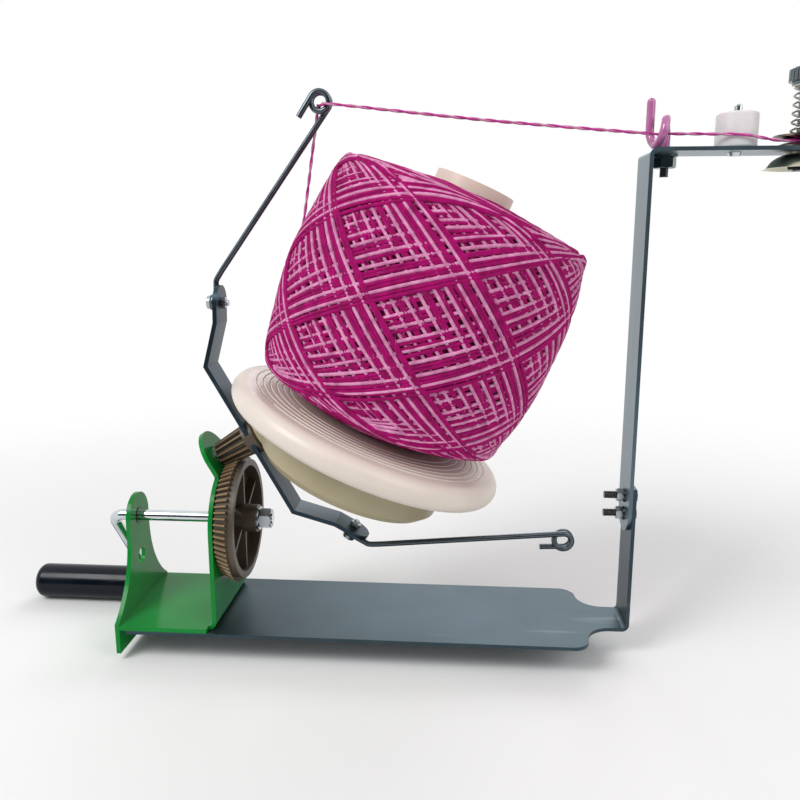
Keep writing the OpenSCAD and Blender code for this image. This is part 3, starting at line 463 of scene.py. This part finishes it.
DIP_END = 0.3236
guide_pink = Finish("guide_pink", (0.50, 0.15, 0.36), Roughness=0.14, Coat_Weight=0.4)
swirl = guide_pink.noise(120, 2)
dipped = guide_pink.mix(swirl, (0.44, 0.10, 0.30), (0.58, 0.21, 0.44))
guide_pink.feed("Base Color", guide_pink.mix(guide_pink.axes()[2] < DIP_END, dipped, (0.020, 0.022, 0.026)))
guide_pink.feed("Roughness", 0.10 + swirl * 0.10)
guide_pink.bump(swirl, 0.0001)

wax_white = Finish(
    "wax_white", (0.82, 0.80, 0.80), Roughness=0.42, Subsurface_Weight=0.35, Subsurface_Scale=0.006
)
bloom = wax_white.noise(150, 3)
score = (wax_white.axes()[2] * 5200 + wax_white.noise(60) * 3.0).wave()
wax_white.feed("Base Color", wax_white.mix(bloom, (0.74, 0.72, 0.73), (0.88, 0.86, 0.86)))
wax_white.feed("Roughness", 0.34 + bloom * 0.2)
wax_white.bump(score * 0.1 + bloom, 0.00004)
print("plastics ready:", grip_black.material.name, guide_pink.material.name, wax_white.material.name)

# %% [markdown]
# Yarn is the softest finish here. Light goes a little way into the fibres and comes back, so a
# plain glossy shader looks like plastic. A high roughness, a sheen and a mottled colour at the size
# of the fibres make it read as spun wool. The winder is filled with one dark and one pale strand.

# %% Yarn finishes
def spun_yarn(name, deep, light, sheen):
    """Matt yarn, mottled between two shades, with fibre bumps and a sheen of its own colour."""
    made = Finish(name, light, Roughness=0.85, Sheen_Weight=0.35, Sheen_Roughness=0.5)
    made.shader.inputs["Sheen Tint"].default_value = (*sheen, 1)
    made.shader.inputs["Specular IOR Level"].default_value = 0.2
    patch = made.noise(170, 3, 0.6)
    fibre = made.noise(2600, 2, 0.7)
    made.feed("Base Color", made.mix(patch.between(0.32, 0.68), deep, light))
    made.feed("Roughness", 0.75 + fibre * 0.2)
    made.bump(fibre, 0.0004)
    return made.material


yarn_dark = spun_yarn("yarn_magenta", (0.26, 0.001, 0.088), (0.50, 0.001, 0.18), (0.9, 0.05, 0.4))
yarn_pale = spun_yarn("yarn_pale_pink", (0.60, 0.17, 0.38), (0.96, 0.42, 0.69), (1.0, 0.6, 0.8))
# A darker copy of the magenta yarn for the barrel: painted shade, so the gaps between the wound strands
# look dark.
yarn_core_painted_shade = spun_yarn("yarn_core_painted_shade", (0.10, 0.001, 0.032), (0.18, 0.001, 0.058), (0.5, 0.05, 0.2))
# A lighter copy of the dark magenta yarn for the running strand: painted light, as that strand hangs free
# in the light.
yarn_painted_lit = spun_yarn("yarn_painted_lit_ply", (0.56, 0.02, 0.30), (0.74, 0.06, 0.42), (1.0, 0.6, 0.8))
yarn_fuzz = spun_yarn("yarn_fuzz", (0.62, 0.12, 0.36), (0.80, 0.40, 0.58), (1.0, 0.8, 0.9))
print("yarn finishes:", yarn_dark.name, yarn_pale.name)

# %% [markdown]
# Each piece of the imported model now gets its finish. A piece has one material slot, so dressing it
# is only a matter of clearing that slot and putting the finish in.

# %% Dress the metal and plastic pieces
finishes = {
    base_zinc: ["base_plate"],
    post_zinc: ["post"],
    bar_zinc: ["flyer_bar"],
    enamel.material: ["drive_bracket"],
    chrome: ["crank_rod"],
    shaft_steel: ["flyer_shaft", "thrust_washer", "axle_carrier", "tray_axle", "axle_washer", "wax_pin",
                  "gear_washer"],
    stud_steel: ["tension_stud"],
    bolt_steel: ["post_bolts"],
    nut_zinc: ["bracket_screws", "shaft_lock_nut", "axle_nut", "housing_screws", "post_nuts", "gear_nut",
               "flyer_screws", "flyer_nuts"],
    nickel: ["spring_cap"],
    black_nut: ["stud_nut"],
    bush_dark: ["shaft_bushes"],
    dark_nut: ["pigtail_nut", "pigtail_washer", "post_washers", "thumb_nut"],
    worn_disc: ["upper_disc", "lower_disc"],
    ivory_dish: ["bottom_dish"],
    # The gear housing wears the darker cream copy, which is painted shade.
    drum_cream_painted_shade: ["gear_housing"],
    gear_brown: ["drive_gear"],
    pinion_brown: ["flyer_pinion", "tray_pinion", "tray_gear"],
    tray_cream: ["tray"],
    tube_cream: ["core_tube"],
    grip_black.material: ["grip"],
    wax_white.material: ["wax_ring"],
}


def dress(piece, material):
    """The piece's mesh gets this one finish."""
    piece.data.materials.clear()
    piece.data.materials.append(material)


for material, names in finishes.items():
    for name in names:
        dress(nodes[name], material)
undressed = sorted(set(nodes) - {name for names in finishes.values() for name in names})
print("still to be modelled here:", undressed)

# %% [markdown]
# Under the visible yarn lies a solid-looking barrel, the layers that were wound before. It is
# turned like a pot on a lathe: one vertex is extruded round the outline of one side, and that is
# spun about the axis. It stays a little smaller than the strands that will lie on it.

# %% Barrel of older layers
BALL_MID, BALL_R, BALL_ARC, BALL_EDGE = 100.0, 93.5, 260.0, 68.0
SHOULDER_IN, SHOULDER_R = 79.45, 5.0
CORE_R, BALL_FOOT, BALL_TOP = 27.1, 17.0, 179.2


def on_tray(u, y, v):
    """A point across, along Y and up the tray's leaning axis, in millimetres."""
    c, s = math.cos(TRAY_LEAN), math.sin(TRAY_LEAN)
    return TRAY_CENTRE + mm(u * c + v * s, y, v * c - u * s)


def ball_radius(v):
    """Radius of the barrel at height v: a shallow belly between two rounded shoulders."""
    up = min(abs(v - BALL_MID), BALL_EDGE + 4.8)
    if up <= BALL_EDGE:
        return BALL_R - BALL_ARC + math.sqrt(BALL_ARC**2 - up**2)
    return SHOULDER_IN + math.sqrt(SHOULDER_R**2 - (up - BALL_EDGE) ** 2)


def lathe(name, outline, steps):
    """Spins an outline of (radius, height) pairs, in millimetres, about the tray's axis."""
    bpy.ops.object.select_all(action="DESELECT")
    bpy.ops.mesh.primitive_plane_add(size=0.01, location=(0, 0, 0))
    piece = bpy.context.object
    piece.name = name
    bpy.ops.object.mode_set(mode="EDIT")
    bpy.ops.mesh.select_all(action="SELECT")
    bpy.ops.mesh.merge(type="CENTER")
    bpy.ops.transform.translate(value=(outline[0][0] * MM, 0, outline[0][1] * MM))
    for (r0, v0), (r1, v1) in zip(outline, outline[1:]):
        bpy.ops.mesh.extrude_vertices_move(
            TRANSFORM_OT_translate={"value": ((r1 - r0) * MM, 0, (v1 - v0) * MM)}
        )
    bpy.ops.mesh.select_all(action="SELECT")
    bpy.ops.mesh.spin(steps=steps, angle=2 * math.pi, center=(0, 0, 0), axis=(0, 0, 1))
    bpy.ops.mesh.select_all(action="SELECT")
    bpy.ops.mesh.remove_doubles(threshold=1e-6)
    bpy.ops.mesh.normals_make_consistent(inside=False)
    bpy.ops.object.mode_set(mode="OBJECT")
    bpy.ops.object.shade_smooth()
    piece.data.transform(Matrix.Translation(TRAY_CENTRE) @ Matrix.Rotation(TRAY_LEAN, 4, "Y"))
    return piece


heights = [BALL_MID + h for h in range(-72, 73, 6)]
belly = [(ball_radius(v) - 1.0, v) for v in heights]
outline = [(CORE_R, BALL_FOOT), (50, BALL_FOOT)] + belly + [(CORE_R, BALL_TOP), (CORE_R, BALL_FOOT)]
barrel = lathe("yarn_barrel", outline, 96)
# The barrel wears the darker yarn copy, painted shade showing through the gaps between strands.
dress(barrel, yarn_core_painted_shade)
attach(barrel, "package")
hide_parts("yarn_package")
print("barrel faces:", len(barrel.data.polygons))

# %% [markdown]
# The flyer lays each turn as a tilted loop round the barrel, and the slow tray shifts the next turn
# by a sixth of a circle. After many turns this gives six bands of loops that cross in diamonds. In
# each diamond the turns that came last lie on top, so the lift of a loop grows with its place in
# the band, and the nested corners of the real ball come out by themselves.

# %% Wound loops
BANDS, TURNS, BAND_STEP = 6, 8, 60.0
LOOP_POINTS = 84
chance = random.Random(11)


def round_strands(name, runs, radius, material, closed=False, sides=1, thin=None):
    """Round strands along lists of points: one curve with a bevel, turned into a mesh."""
    bpy.ops.object.select_all(action="DESELECT")
    bpy.ops.curve.primitive_nurbs_path_add()
    piece = bpy.context.object
    piece.name = name
    piece.location = (0, 0, 0)
    curve = piece.data
    curve.splines.clear()
    for run in runs:
        spline = curve.splines.new("POLY")
        spline.points.add(len(run) - 1)
        for i, (point, place) in enumerate(zip(spline.points, run)):
            point.co = (*place, 1)
            point.radius = thin[i] if thin else 1.0
        spline.use_cyclic_u = closed
    curve.dimensions = "3D"
    curve.bevel_depth = radius
    curve.bevel_resolution = sides
    curve.use_fill_caps = not closed
    bpy.ops.object.convert(target="MESH")
    piece = bpy.context.object
    bpy.ops.object.shade_smooth()
    dress(piece, material)
    return piece


def wound_loop(phase, lift):
    """One turn of yarn on the barrel; phase in degrees, lift above the barrel in millimetres."""
    swing = BALL_EDGE + 3.4 + chance.uniform(-1.6, 0.8)
    sway, sway_at = chance.uniform(0.2, 0.9), chance.uniform(0, 6.28)
    ripple, ripple_at = chance.uniform(0.05, 0.25), chance.uniform(0, 6.28)
    run = []
    for i in range(LOOP_POINTS):
        a = 2 * math.pi * i / LOOP_POINTS
        v = BALL_MID + swing * math.sin(a - math.radians(phase))
        v += sway * math.sin(2 * a + sway_at) + ripple * math.sin(9 * a + ripple_at)
        r = ball_radius(v) + lift
        run.append(on_tray(r * math.cos(a), r * math.sin(a), v))
    return run


dark_loops, pale_loops = [], []
for band in range(BANDS):
    for turn in range(TURNS):
        at = 17.0 + band * BAND_STEP + turn * BAND_STEP / TURNS + chance.uniform(-0.5, 0.5)
        lift = -0.5 + 0.30 * turn
        pale_loops.append(wound_loop(at, lift + 0.1))
        dark_loops.append(wound_loop(at + 2.5, lift))
        if turn % 2 or turn == TURNS - 2:
            dark_loops.append(wound_loop(at + 4.9, lift - 0.05))
wraps_dark = round_strands("yarn_wraps_dark", dark_loops, 1.3 * MM, yarn_dark, closed=True)
wraps_pale = round_strands("yarn_wraps_pale", pale_loops, 1.15 * MM, yarn_pale, closed=True)
for wraps in (wraps_dark, wraps_pale):
    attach(wraps, "package")
print("loops:", len(dark_loops), "dark,", len(pale_loops), "pale;",
      len(wraps_dark.data.polygons), "and", len(wraps_pale.data.polygons), "faces")

# %% [markdown]
# On the two ends only the turning points of the loops show, as short arcs that come out of the yarn
# and dive back into it, one ring of them for each layer. They are made with the same strands.

# %% Ends of the ball
def end_arc(radius, middle, height, top):
    """An arc of a turn where it bends back at one end of the barrel."""
    run = []
    for i in range(15):
        t = i / 7 - 1
        a = math.radians(middle + 40 * t)
        dip = (0.5 - 2.6 * t * t) * (1 if top else -1)
        reach = radius + 1.6 * t * t
        run.append(on_tray(reach * math.cos(a), reach * math.sin(a), height + dip))
    return run


end_dark, end_pale = [], []
for layer in range(21):
    radius = 33.0 + 2.3 * layer
    for band in range(BANDS):
        shades = end_pale if layer % 3 == 1 else end_dark
        middle = 60 * band + 23 * layer + chance.uniform(-6, 6)
        shades.append(end_arc(radius, middle, 179.4 - (radius - 27) * 0.1325, True))
        if radius > 51:
            shades.append(end_arc(radius, middle + 30, 17.2 + (radius - 50) * 0.345, False))
ends_dark = round_strands("yarn_ends_dark", end_dark, 1.35 * MM, yarn_dark)
ends_pale = round_strands("yarn_ends_pale", end_pale, 1.2 * MM, yarn_pale)
for ends in (ends_dark, ends_pale):
    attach(ends, "package")
print("end arcs:", len(end_dark) + len(end_pale))

# %% [markdown]
# Loose fibres stand off every spun strand and blur the outline of the ball. Three points and four
# sides are enough for a hair of a tenth of a millimetre, so a few thousand cost little.

# %% Loose fibres
def fibre(v_low, v_high):
    """A short bent hair that grows out of the barrel at a random place."""
    a, v = chance.uniform(0, 2 * math.pi), chance.uniform(v_low, v_high)
    r = ball_radius(v) + 0.6
    long = chance.uniform(2.2, 5.2)
    out, side, up = chance.uniform(0.25, 0.75), chance.uniform(-0.8, 0.8), chance.uniform(-0.8, 0.8)
    run = []
    for t in (0.0, 0.5, 1.0):
        turn = a + side * long * t / r
        reach = r + out * long * t * (1.15 - 0.45 * t)
        run.append(on_tray(reach * math.cos(turn), reach * math.sin(turn), v + up * long * t * t))
    return run


hairs = [fibre(29, 171) for _ in range(2600)]
fuzz = round_strands("yarn_fuzz", hairs, 0.055 * MM, yarn_fuzz, sides=0)
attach(fuzz, "package")
print("fibres:", len(hairs), "faces:", len(fuzz.data.polygons))

# %% [markdown]
# The running strand is what ties the machine together: out of the tension discs, past the wax,
# through the open loop, along to the upper eye and down to the ball. It is two plies, one of each
# colour, twisted round one another. The loose stretch between guide and eye is a piece of its own.

# %% Running strand
def on_flyer(x, y, a):
    """A point square to, along Y and along the flyer's leaning axis, in millimetres."""
    c, s = math.cos(FLYER_TILT), math.sin(FLYER_TILT)
    return Vector(APEX) + mm(x * s + a * c, y, a * s - x * c)


def eased(points, step):
    """A smooth run through the points, with a new point every step metres or so."""
    ends = [points[0] * 2 - points[1]] + points + [points[-1] * 2 - points[-2]]
    run = []
    for p0, p1, p2, p3 in zip(ends, ends[1:], ends[2:], ends[3:]):
        count = max(2, round((p2 - p1).length / step))
        for i in range(count):
            t = i / count
            bend = (p2 - p0) * t + (p0 * 2 - p1 * 5 + p2 * 4 - p3) * t * t
            run.append(p1 + (bend + (p1 * 3 - p0 - p2 * 3 + p3) * t**3) * 0.5)
    return run + [points[-1]]


def plied(name, points, ply_radius, lay):
    """Two plies twisted round a run of points, one turn for each lay metres."""
    run = eased(points, 0.0012)
    plies = ([], [])
    gone = 0.0
    for i, place in enumerate(run):
        ahead = (run[min(i + 1, len(run) - 1)] - run[max(i - 1, 0)]).normalized()
        side = ahead.cross(Vector((0.3, 0.1, 0.95))).normalized()
        over = ahead.cross(side)
        gone += (place - run[i - 1]).length if i else 0.0
        turn = 2 * math.pi * gone / lay
        off = (side * math.cos(turn) + over * math.sin(turn)) * ply_radius * 0.6
        plies[0].append(place + off)
        plies[1].append(place - off)
    # The first ply wears the lighter magenta copy, painted light on the free-hanging strand.
    piece = round_strands(name, plies, ply_radius, yarn_painted_lit)
    piece.data.materials.append(yarn_fuzz)
    half = len(piece.data.polygons) // 2
    for face in piece.data.polygons[half:]:
        face.material_index = 1
    return piece


LAY = 0.02
BAR_A, EYE_X, EYE_A = 122.6, 171.0, 158.0
guide_pass = mm(183.6, -2, 335.3)
eye_pass = on_flyer(-EYE_X, 0, BAR_A + EYE_A) + mm(0, 0, -2.3)
lead = plied(
    "strand_lead",
    [mm(275, -7, 329.85), mm(253.5, -9.5, 329.85), mm(238, -13.7, 331.6), mm(228, -14.1, 333),
     guide_pass + mm(4, -1, 0), guide_pass],
    0.66 * MM, LAY,
)
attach(lead, "frame")
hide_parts("yarn_lead")
span = plied(
    "strand_span",
    [guide_pass, guide_pass + mm(-8, 0, 0.4), eye_pass.lerp(guide_pass, 0.5) + mm(0, -3, -1.0),
     eye_pass + mm(14, -6.8, -1), eye_pass + mm(3, -3.6, 0), eye_pass],
    0.7 * MM, LAY,
)
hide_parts("yarn_span")
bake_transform(span)
touch = on_tray(-BALL_R - 0.7, 12, BALL_MID - 6)
fall = plied(
    "strand_drop",
    [eye_pass, eye_pass + mm(-2.6, 5.6, -1.5), eye_pass + mm(-3.6, 7.4, -6),
     on_tray(-BALL_R - 1.2, 10, BALL_MID + 6), touch],
    0.7 * MM, LAY,
)
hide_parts("yarn_drop")
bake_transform(fall)
print("strand runs from", [round(c, 3) for c in guide_pass], "to", [round(c, 3) for c in touch])

# %% [markdown]
# A thread arm is one length of drawn wire: a ring round its screw, a knee, a straight run and an
# eye of one and a half turns with an open tail, so that yarn can be slipped in from the side. The
# path is worked out once in the flyer's own frame and turned half round for the second arm.

# %% Thread arms
EYE_R, EYE_STEP, EYE_TAIL, WIRE_R = 6.0, 4.6, 16, 2.0


def thread_arm(name, node, flip):
    """The wire arm of one side; flip is 1 for the lower arm and -1 for the upper one."""
    tab = Vector((21.5, 13.0)).normalized()
    seat = Vector((104, 35)) - 12 * tab + (WIRE_R + 0.05) * Vector((tab.y, -tab.x))
    tip, eye = seat + 15 * tab, Vector((EYE_X, EYE_A))
    go = (eye - tip).normalized()
    inner = Vector((-go.y, go.x))
    ring_r, y0 = 4.3, -0.75 * EYE_STEP
    flat = []
    for i in range(29):
        a = math.radians(-345 + 255 * i / 28)
        q = seat + ring_r * math.cos(a) * tab
        flat.append((q.x, ring_r * math.sin(a), q.y))
    for k in (-6, -2.5, -0.6):
        q = tip + k * tab
        flat.append((q.x, -ring_r, q.y))
    for k in (1.4, 4.0, 8.0):
        q = tip + k * go
        flat.append((q.x, -ring_r, q.y))
    for i in range(73):
        a = math.radians(540 * i / 72)
        q = eye + EYE_R * (math.cos(a) * inner + math.sin(a) * go)
        flat.append((q.x, y0 + EYE_STEP * a / (2 * math.pi), q.y))
    end = eye - EYE_R * inner - EYE_TAIL * go
    flat.append((end.x, -y0, end.y))
    run = [on_flyer(flip * x, flip * y, BAR_A + z) for x, y, z in flat]
    piece = round_strands(name, [run], WIRE_R * MM, wire_steel, sides=4)
    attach(piece, "flyer")
    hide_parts(node)
    return piece


arms = [thread_arm("thread_arm_lower", "lower_wire", 1), thread_arm("thread_arm_upper", "upper_wire", -1)]
print("thread arms:", [len(arm.data.polygons) for arm in arms], "faces")

# %% [markdown]
# The loop guide is a pink dipped wire with a round tip. Its path is the same as in the packed
# model, a shank through the arm, one turn and a short tail, but with more points, and the last few
# points get thinner so that the tip closes as a dome.

# %% Loop guide
GUIDE_X, GUIDE_LOOP, GUIDE_Z, GUIDE_R, GUIDE_SHIFT = 188.6, 8.0, 337.0, 2.75, 10.6
TAIL_UP, TIP_LONG = 19.2, 2.8
path = [mm(GUIDE_X, GUIDE_LOOP, z) for z in (309.5, 316, 322, 328, 331, 334)]
for i in range(49):
    t = i / 48
    a = 2 * math.pi * t
    path.append(mm(GUIDE_X - GUIDE_SHIFT * t, GUIDE_LOOP * math.cos(a), GUIDE_Z + GUIDE_LOOP * math.sin(a)))
path += [mm(GUIDE_X - GUIDE_SHIFT, GUIDE_LOOP, GUIDE_Z + h) for h in (3, 9, 14, TAIL_UP)]
tip_steps = [(k, math.sqrt(1 - (k / 6.2) ** 2)) for k in range(1, 7)]
path += [mm(GUIDE_X - GUIDE_SHIFT, GUIDE_LOOP, GUIDE_Z + TAIL_UP + TIP_LONG * k / 6) for k, _ in tip_steps]
thin = [1.0] * (len(path) - len(tip_steps)) + [r for _, r in tip_steps]
guide = round_strands("loop_guide", [path], GUIDE_R * MM, guide_pink.material, sides=6, thin=thin)
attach(guide, "frame")
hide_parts("pigtail_guide")
print("loop guide faces:", len(guide.data.polygons))

# %% [markdown]
# The tension spring is a slight cone of seven turns whose last turns lie flat against disc and cap,
# as on any bought spring. Both of its ends move: the yarn lifts the upper disc, and the thumb nut
# lets the cap up or down. It is made as two halves that meet at the middle.

# %% Tension spring
SPRING_X, SPRING_LOW, SPRING_HIGH, SPRING_TURNS = 269.0, 332.1, 363.0, 7
SPRING_WIRE, SPRING_STEPS = 0.75, 22 * SPRING_TURNS
coil = []
for i in range(SPRING_STEPS + 1):
    t = i / SPRING_STEPS
    climb = min(1.0, max(0.0, (t * SPRING_TURNS - 0.7) / (SPRING_TURNS - 1.4)))
    r = 5.6 - 0.6 * t
    a = 2 * math.pi * SPRING_TURNS * t
    z = SPRING_LOW + SPRING_WIRE + (SPRING_HIGH - SPRING_LOW - 2 * SPRING_WIRE) * climb
    coil.append(mm(SPRING_X + r * math.cos(a), r * math.sin(a), z))
half = len(coil) // 2
ends = (SPRING_LOW, SPRING_HIGH, (SPRING_LOW + SPRING_HIGH) / 2)
foot, top, middle = (tuple(mm(SPRING_X, 0, z)) for z in ends)
spring_low = round_strands("tension_coil_low", [coil[:half + 1]], SPRING_WIRE * MM, spring_steel, sides=2)
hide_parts("tension_spring")
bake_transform(spring_low)
spring_high = round_strands("tension_coil_high", [coil[half:]], SPRING_WIRE * MM, spring_steel, sides=2)
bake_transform(spring_high)
print("spring faces:", len(spring_low.data.polygons) + len(spring_high.data.polygons))
